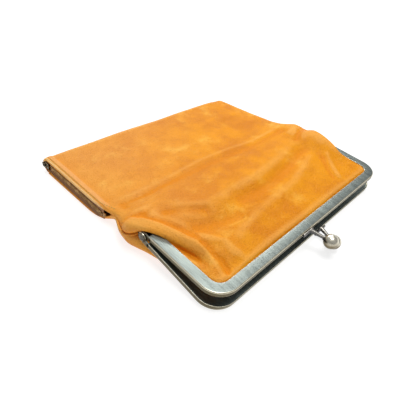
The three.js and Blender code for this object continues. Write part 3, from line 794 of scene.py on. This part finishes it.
pocket_rows = np.nonzero(rows > 18)[0]
part_x, part_y, part_z = [a[across, pocket_rows] for a in (x, y, z)]
half = part_z[:, -1] / 2
turned_y = np.stack([FOLD_Y + (half - INSET) * math.cos(t) for t in turns], axis=1)
turned_z = np.stack([half + (half - INSET) * math.sin(t) for t in turns], axis=1)
back_y = part_y[:, ::-1]
part_x = HINGE.x + (part_x - HINGE.x) * POCKET_WIDTH
part_x = np.concatenate([part_x, np.repeat(part_x[:, -1:], len(turns), 1), part_x[:, ::-1]], axis=1)
part_z = np.concatenate([part_z - INSET, turned_z, np.full_like(back_y, 0.75 + INSET)], axis=1)
part_y = np.concatenate([part_y, turned_y, back_y], axis=1)
lining("pocket_lining_skin", part_x, part_y, part_z, ["pocket_lining"], False, False)
divider = bmesh.new()
bmesh.ops.create_grid(divider, x_segments=60, y_segments=6, size=0.5)
for v in divider.verts:
    across_x = -89.0 + 183.0 * (v.co.x + 0.5)
    roof = float(top_height(np.array(across_x), np.array(16.7))) - 2.6
    v.co = (across_x, 16.7 + 0.4 * math.sin(across_x / 7), 1.9 + (roof - 1.9) * (v.co.y + 0.5))
bmesh.ops.solidify(divider, geom=divider.faces[:], thickness=0.6)
bmesh.ops.recalc_face_normals(divider, faces=divider.faces)
finished(divider, "divider_cloth", lining_cloth, "purse_body", ["pocket_divider"],
         weighted=False)

# --- Side seams and topstitching ---------------------------------------------------------
# The pouch's sides are sewn leather edge to leather edge and stand out as a thin welt. The
# pocket's left edge is turned under and topstitched with waxed thread as far as the notch.
def tube(name, points, radius, material, body, nodes=(), flat=1.0):
    """A soft round strip along a smooth curve through the points."""
    curve = bpy.data.curves.new(name + "_line", "CURVE")
    curve.dimensions = "3D"
    curve.bevel_depth = radius
    curve.bevel_resolution = 4
    curve.resolution_u = 8
    curve.use_fill_caps = True
    line = curve.splines.new("BEZIER")
    line.bezier_points.add(len(points) - 1)
    for knot, point in zip(line.bezier_points, points):
        knot.co = point
        knot.handle_left_type = knot.handle_right_type = "AUTO"
    holder = bpy.data.objects.new(name + "_line", curve)
    bpy.context.scene.collection.objects.link(holder)
    bpy.context.view_layer.update()
    data = bpy.data.meshes.new_from_object(holder.evaluated_get(bpy.context.evaluated_depsgraph_get()))
    bpy.data.objects.remove(holder)
    bm = bmesh.new()
    bm.from_mesh(data)
    bmesh.ops.remove_doubles(bm, verts=bm.verts, dist=1e-4)
    return finished(bm, name, material, body, nodes, weighted=False)


seam_left = [(-92.6, -14.6, 13.0), (-95.8, -12.6, 12.2), (-98.4, -9, 11.9), (-98.3, -4.5, 11.5),
             (-96.6, 0.5, 11.2), (-94.3, 5.5, 11.0), (-93.2, 9.5, 10.8), (-93.4, 14, 10.8)]
tube("left_seam_welt", seam_left, 0.75, tan_leather, "purse_body", ["left_side_seam"])
seam_right = [(94.0, -14.6, 13.0), (97.2, -12.6, 12.2), (99.4, -9, 11.8), (99.4, -3, 11.4),
              (99.2, 3, 10.9), (98.9, 10, 9.3), (98.7, 18, 7.4), (98.6, 30, 6.1), (98.6, 56, 4.8),
              (98.6, 80, 4.2), (98.4, 93, 3.9)]
tube("right_seam_welt", seam_right, 0.8, tan_leather, "purse_body",
     ["right_side_seam", "right_pocket_seam"])

thread, shader, place, normal = new_finish("waxed_thread", {"Roughness": 0.6})
ply = place.noise(1800.0, 3.0)
feed(shader, Base_Color=ply.mixed((0.30, 0.17, 0.015, 1), (0.80, 0.56, 0.13, 1)),
     Normal=bumped(ply, 0.4, 0.0002))
STITCH = 1.15
STITCH_PITCH = 2.0


def stitched(name, line, material, body, surface=None):
    """A row of stitches along a line of points, each one a small pulled bead of thread."""
    bm = bmesh.new()
    lengths = [0.0]
    for a, b in zip(line, line[1:]):
        lengths.append(lengths[-1] + (Vector(b) - Vector(a)).length)
    count = int(lengths[-1] / STITCH_PITCH)
    for i in range(count):
        at = (i + 0.5) * STITCH_PITCH
        place, ahead = [Vector([float(np.interp(d, lengths, [p[k] for p in line])) for k in range(3)])
                        for d in (at, at + 0.4)]
        if surface:
            for point in (place, ahead):
                hit = surface.ray_cast(Vector((point.x, point.y, 40)), Vector((0, 0, -1)))[0]
                if hit:
                    point.z = hit.z + 0.02
        bead = bmesh.ops.create_uvsphere(bm, u_segments=8, v_segments=6, radius=0.5)["verts"]
        bmesh.ops.scale(bm, verts=bead, vec=(0.66, 0.66, STITCH))
        turn = (ahead - place).to_track_quat("Z", "Y").to_matrix()
        bmesh.ops.rotate(bm, verts=bead, matrix=turn)
        bmesh.ops.translate(bm, verts=bead, vec=place)
    return finished(bm, name, material, body, weighted=False)


skin_tree = BVHTree.FromPolygons(
    [v.co / MM for v in top_skin.data.vertices], [p.vertices[:] for p in top_skin.data.polygons])
stitch_line = [(-91.2, 11.6, 0), (-91.8, 14.5, 0), (-93.2, 18.5, 0), (-94.4, 23, 0), (-94.9, 30, 0),
               (-94.9, 60, 0), (-94.9, 93, 0)]
stitched("pocket_topstitch", stitch_line, thread, "purse_body", skin_tree)
seam_stitches = [Vector(p) + Vector((-0.62, 0, 0.35)) for p in seam_left[1:-1]]
stitched("left_seam_stitches", seam_stitches, thread, "purse_body")
seam_stitches = [Vector(p) + Vector((0.66, 0, 0.35)) for p in seam_right[1:]]
stitched("right_seam_stitches", seam_stitches, thread, "purse_body")

# --- Zipper ------------------------------------------------------------------------------
# A small metal zipper along the pocket's left edge: woven tapes sewn inside both leather edges,
# stamped brass teeth clamped on their beads, an end stop, and a slider with a bail and a pull.
CHAIN_X = -95.35
TOOTH_PITCH = 1.5
CHAIN_START = 21.2
CHAIN_END = 91.2
ROW_HEIGHTS = {"lower_zipper_teeth": 5.15, "upper_zipper_teeth": 6.85}


def chain_line(y):
    """The chain's x along the pocket: straight, turning in a little at its notch end."""
    return CHAIN_X + 1.3 * (1 - step((y - 16.5) / 6))


def plated(name, dark, bright, rough, blotches=0.5):
    material, shader, place, normal = new_finish(name, {"Metallic": 1.0})
    tarnish = place.noise(260.0, 4.0, 0.6)
    rub = place.stretched((1.0, 0.2, 1.0)).noise(1500.0, 3.0)
    # colour by facing: faces turned up take the bright colour as a painted reflection, faces turned
    # down the dark one as painted shade; blotches is the share of real tarnish mottling
    facing_shade_and_tarnish = normal.part(2).between(-0.2, 0.8) * (1 - blotches) + tarnish.between(0.42, 0.66) * blotches
    feed(shader, Base_Color=facing_shade_and_tarnish.mixed(tuple(dark) + (1,), tuple(bright) + (1,)),
         Roughness=rough + rub * 0.2, Normal=bumped(rub, 0.15, 0.0001))
    return material


# the zipper teeth carry the same painted reflection above and painted shade below, half mixed with
# tarnish
zip_brass = plated("zipper_brass", (0.20, 0.10, 0.03), (0.86, 0.58, 0.26), 0.30)
for row_name, height in ROW_HEIGHTS.items():
    upper = row_name.startswith("upper")
    teeth = bmesh.new()
    count = int((CHAIN_END - CHAIN_START) / TOOTH_PITCH)
    for i in range(count):
        tooth = bmesh.ops.create_cube(teeth, size=1.0)["verts"]
        bmesh.ops.scale(teeth, verts=tooth, vec=(1.7, 0.72, 2.1))
        tip = [v for v in tooth if (v.co.z < 0) == upper]
        bmesh.ops.scale(teeth, verts=tip, vec=(0.7, 0.8, 1.0))
        place_y = CHAIN_START + 0.6 + (i + (0.5 if upper else 0.0)) * TOOTH_PITCH
        bmesh.ops.translate(
            teeth, verts=tooth, vec=(chain_line(place_y), place_y, height))
    bmesh.ops.bevel(teeth, geom=teeth.edges[:], offset=0.13, segments=1, profile=0.5,
                    affect="EDGES", material=-1, offset_type="OFFSET")
    finished(teeth, row_name.replace("zipper", "chain"), zip_brass, "purse_body",
             [row_name], weighted=False)

tape_cloth = twill("zipper_tape_cloth", (0.12, 0.042, 0.008), (0.50, 0.22, 0.075))
for tape_name, low, high in (("lower_zipper_tape", 1.9, 5.0), ("upper_zipper_tape", 7.0, 11.2)):
    tape = bmesh.new()
    bmesh.ops.create_grid(tape, x_segments=140, y_segments=6, size=0.5)
    for v in tape.verts:
        along, up = v.co.x + 0.5, v.co.y + 0.5
        away = 1 - up if low < 4 else up
        place_y = CHAIN_START - 1 + 72 * along
        flare = (1.75 if low < 4 else 0.35) * away ** 1.5 * float(step((place_y - 20) / 8))
        v.co = (chain_line(place_y) + 0.15 - flare, place_y, low + (high - low) * up)
    bmesh.ops.solidify(tape, geom=tape.faces[:], thickness=0.35)
    bmesh.ops.recalc_face_normals(tape, faces=tape.faces)
    finished(tape, tape_name.replace("zipper", "chain"), tape_cloth, "purse_body",
             [tape_name], weighted=False)

stop = bmesh.new()
bmesh.ops.create_cube(stop, size=1.0)
bmesh.ops.scale(stop, verts=stop.verts, vec=(1.6, 2.0, 3.0))
bmesh.ops.bevel(stop, geom=stop.edges[:], offset=0.35, segments=3, profile=0.5, affect="EDGES",
                material=-1, offset_type="OFFSET")
bmesh.ops.translate(stop, verts=stop.verts, vec=(chain_line(CHAIN_START) + 0.4, CHAIN_START - 1.4, 6))
finished(stop, "chain_end_stop", zip_brass, "purse_body", ["zipper_end_stop"])

# the slider is dark plated metal with the same painted reflection and painted shade by facing, half
# mixed with tarnish
slider_metal = plated("slider_metal", (0.06, 0.05, 0.035), (0.42, 0.38, 0.28), 0.25)
slider_low, slider_high = [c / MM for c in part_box("zipper_slider")]


def bevelled_block(bm, low, high, offset, segments=3):
    """A block between two corners with every edge rounded."""
    block = bmesh.ops.create_cube(bm, size=1.0)["verts"]
    low, high = Vector(low), Vector(high)
    bmesh.ops.scale(bm, verts=block, vec=high - low)
    bmesh.ops.translate(bm, verts=block, vec=(low + high) / 2)
    edges = list({e for v in block for e in v.link_edges})
    bmesh.ops.bevel(bm, geom=edges, offset=offset, segments=segments, profile=0.5, affect="EDGES",
                    material=-1, offset_type="OFFSET")


slider = bmesh.new()
y0, y1 = slider_low.y, slider_high.y
for x0, x1 in ((-97.15, -96.35), (-94.35, -93.55)):
    bevelled_block(slider, (x0, y0, slider_low.z), (x1, y1, slider_high.z), 0.38)
bevelled_block(slider, (-96.6, y1 - 2.2, 5.2), (-94.1, y1 - 0.3, 6.8), 0.3)
for end in (y0 + 0.9, y1 - 2.9):
    bevelled_block(slider, (-98.6, end, 5.3), (-96.6, end + 0.8, 6.7), 0.3)
bevelled_block(slider, (-99.0, y0 + 0.9, 5.3), (-98.2, y1 - 2.1, 6.7), 0.38)
finished(slider, "slider_body", slider_metal, "zip_slider", ["zipper_slider"])

pull_low, pull_high = [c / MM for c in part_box("zipper_pull")]
pull = bmesh.new()
pull_x = (pull_low.x + pull_high.x) / 2
for z0, z1 in ((pull_low.z, pull_low.z + 0.95), (pull_high.z - 0.95, pull_high.z)):
    bevelled_block(pull, (pull_x - 0.4, pull_low.y, z0), (pull_x + 0.4, y1 - 1.4, z1), 0.3)
bevelled_block(pull, (pull_x - 0.4, pull_low.y, pull_low.z),
               (pull_x + 0.4, pull_low.y + 0.8, pull_high.z), 0.3)
bevelled_block(pull, (pull_x - 0.5, y1 - 2.0, pull_low.z), (pull_x + 0.5, y1 - 0.2, pull_high.z), 0.48)
finished(pull, "slider_pull", slider_metal, "zip_pull", ["zipper_pull"])

# --- Hinge rivets ------------------------------------------------------------------------
# Tubular rivets through both ears: a domed head with a turned ring outside, a clinched end
# inside, dark like the skirts, with a painted reflection where they face up and painted shade where
# they face down, half mixed with tarnish blotches.
rivet_metal = plated("rivet_metal", (0.05, 0.045, 0.035), (0.36, 0.33, 0.27), 0.3)
RIVET_PROFILE = [(92.2, 0.0), (92.2, 1.5), (92.45, 1.9), (93.0, 1.9), (93.0, 1.2), (95.75, 1.2),
                 (95.75, 2.6), (96.05, 2.6), (96.35, 2.35), (96.3, 1.75), (96.45, 1.6), (96.8, 1.2),
                 (97.0, 0.7), (97.08, 0.0)]
for rivet_name, side in (("left_hinge_rivet", -1), ("right_hinge_rivet", 1)):
    rivet = bmesh.new()
    profile = [rivet.verts.new((side * along, radius, 0)) for along, radius in RIVET_PROFILE]
    edges = [rivet.edges.new(pair) for pair in zip(profile, profile[1:])]
    bmesh.ops.spin(rivet, geom=profile + edges, cent=(0, 0, 0), axis=(1, 0, 0), angle=2 * math.pi,
                   steps=40, use_merge=True)
    bmesh.ops.remove_doubles(rivet, verts=rivet.verts, dist=1e-4)
    bmesh.ops.recalc_face_normals(rivet, faces=rivet.faces)
    bmesh.ops.translate(rivet, verts=rivet.verts, vec=HINGE)
    finished(rivet, rivet_name.replace("hinge", "arm"), rivet_metal, "purse_body",
             [rivet_name])

# --- Kiss-lock clasp ---------------------------------------------------------------------
# Each half carries a strip brazed along its front skirt; the strip turns outwards into a
# tapered neck with a hollow polished ball. The balls ride over each other with a snap.
# the balls and strips are coloured by facing, a painted reflection where they face up and painted shade
# where they face down, with a little tarnish mottling
clasp_metal = plated("clasp_metal", (0.16, 0.125, 0.07), (0.99, 0.94, 0.78), 0.22, 0.12)
dark_metal = plated("clasp_strip_metal", (0.05, 0.05, 0.055), (0.42, 0.40, 0.36), 0.28, 0.2)
BALL_RADIUS = 4.9
UPPER_BALL = Vector((-5, -UPPER_REACH - 14.7, 0.4))
LOWER_BALL = Vector((2.9, -UPPER_REACH - 14.7, 4.3))


def neck(bm, start, end, thick, thin):
    """A tapered round neck from the strip to its ball."""
    along = end - start
    rod = bmesh.ops.create_cone(bm, cap_ends=True, segments=24, radius1=thick, radius2=thin,
                                depth=along.length)["verts"]
    bmesh.ops.rotate(bm, verts=rod, matrix=along.to_track_quat("Z", "Y").to_matrix())
    bmesh.ops.translate(bm, verts=rod, vec=(start + end) / 2)


CLASPS = [
    ("upper", UPPER_BALL, -1, -UPPER_REACH - 0.3, (0.6, 3.1), 1.85, UPPER_TILT, "upper_frame"),
    ("lower", LOWER_BALL, 1, -LOWER_REACH - 0.3, (-4.1, -1.4), 3.5, LOWER_TILT, "purse_body"),
]
for name, ball, side, face, strip, level, tilt, body in CLASPS:
    arm = bmesh.new()
    root = ball.x + side * 3.5
    ends = sorted((side * 17, root - side * 1.8))
    bevelled_block(arm, (ends[0], face - 1.1, strip[0]), (ends[1], face, strip[1]), 0.35)
    ends = sorted((root + side * 1.8, root - side * 1.8))
    bevelled_block(arm, (ends[0], face - 1.5, min(strip[0], level - 1.3)),
                   (ends[1], face, max(strip[1], level + 1.3)), 0.55)
    start = Vector((root, face - 0.9, level))
    stem = ball + (start - ball).normalized() * (BALL_RADIUS - 0.2)
    neck(arm, start, stem, 1.5, 1.05)
    collar = ball + (start - ball).normalized() * (BALL_RADIUS + 0.5)
    neck(arm, collar, stem, 1.35, 1.9)
    finished(arm, name + "_clasp_neck", dark_metal, body, [name + "_clasp_arm"], tilt)
    knob = bmesh.new()
    bmesh.ops.create_uvsphere(knob, u_segments=48, v_segments=32, radius=BALL_RADIUS)
    bmesh.ops.translate(knob, verts=knob.verts, vec=ball)
    finished(knob, name + "_clasp_knob", clasp_metal, body, [name + "_clasp_ball"], tilt)

# --- Packing cords -----------------------------------------------------------------------
# Twisted paper cord is pressed into each channel beside the leather's edge, and grips it.
cord_paper, shader, place, normal = new_finish("packing_paper", {"Roughness": 0.9})
twist = place.node("ShaderNodeTexWave", {"bands_direction": "DIAGONAL"},
                   {"Vector": place, "Scale": 300.0})
fibre = place.noise(900.0, 4.0)
feed(shader, Base_Color=(twist * 0.5 + fibre * 0.5).mixed((0.30, 0.21, 0.11, 1), (0.62, 0.48, 0.30, 1)),
     Normal=bumped(twist + fibre, 0.4, 0.0003))
for cord_name in ("upper_packing_cord", "lower_packing_cord"):
    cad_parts[cord_name].data.materials.clear()
    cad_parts[cord_name].data.materials.append(cord_paper)
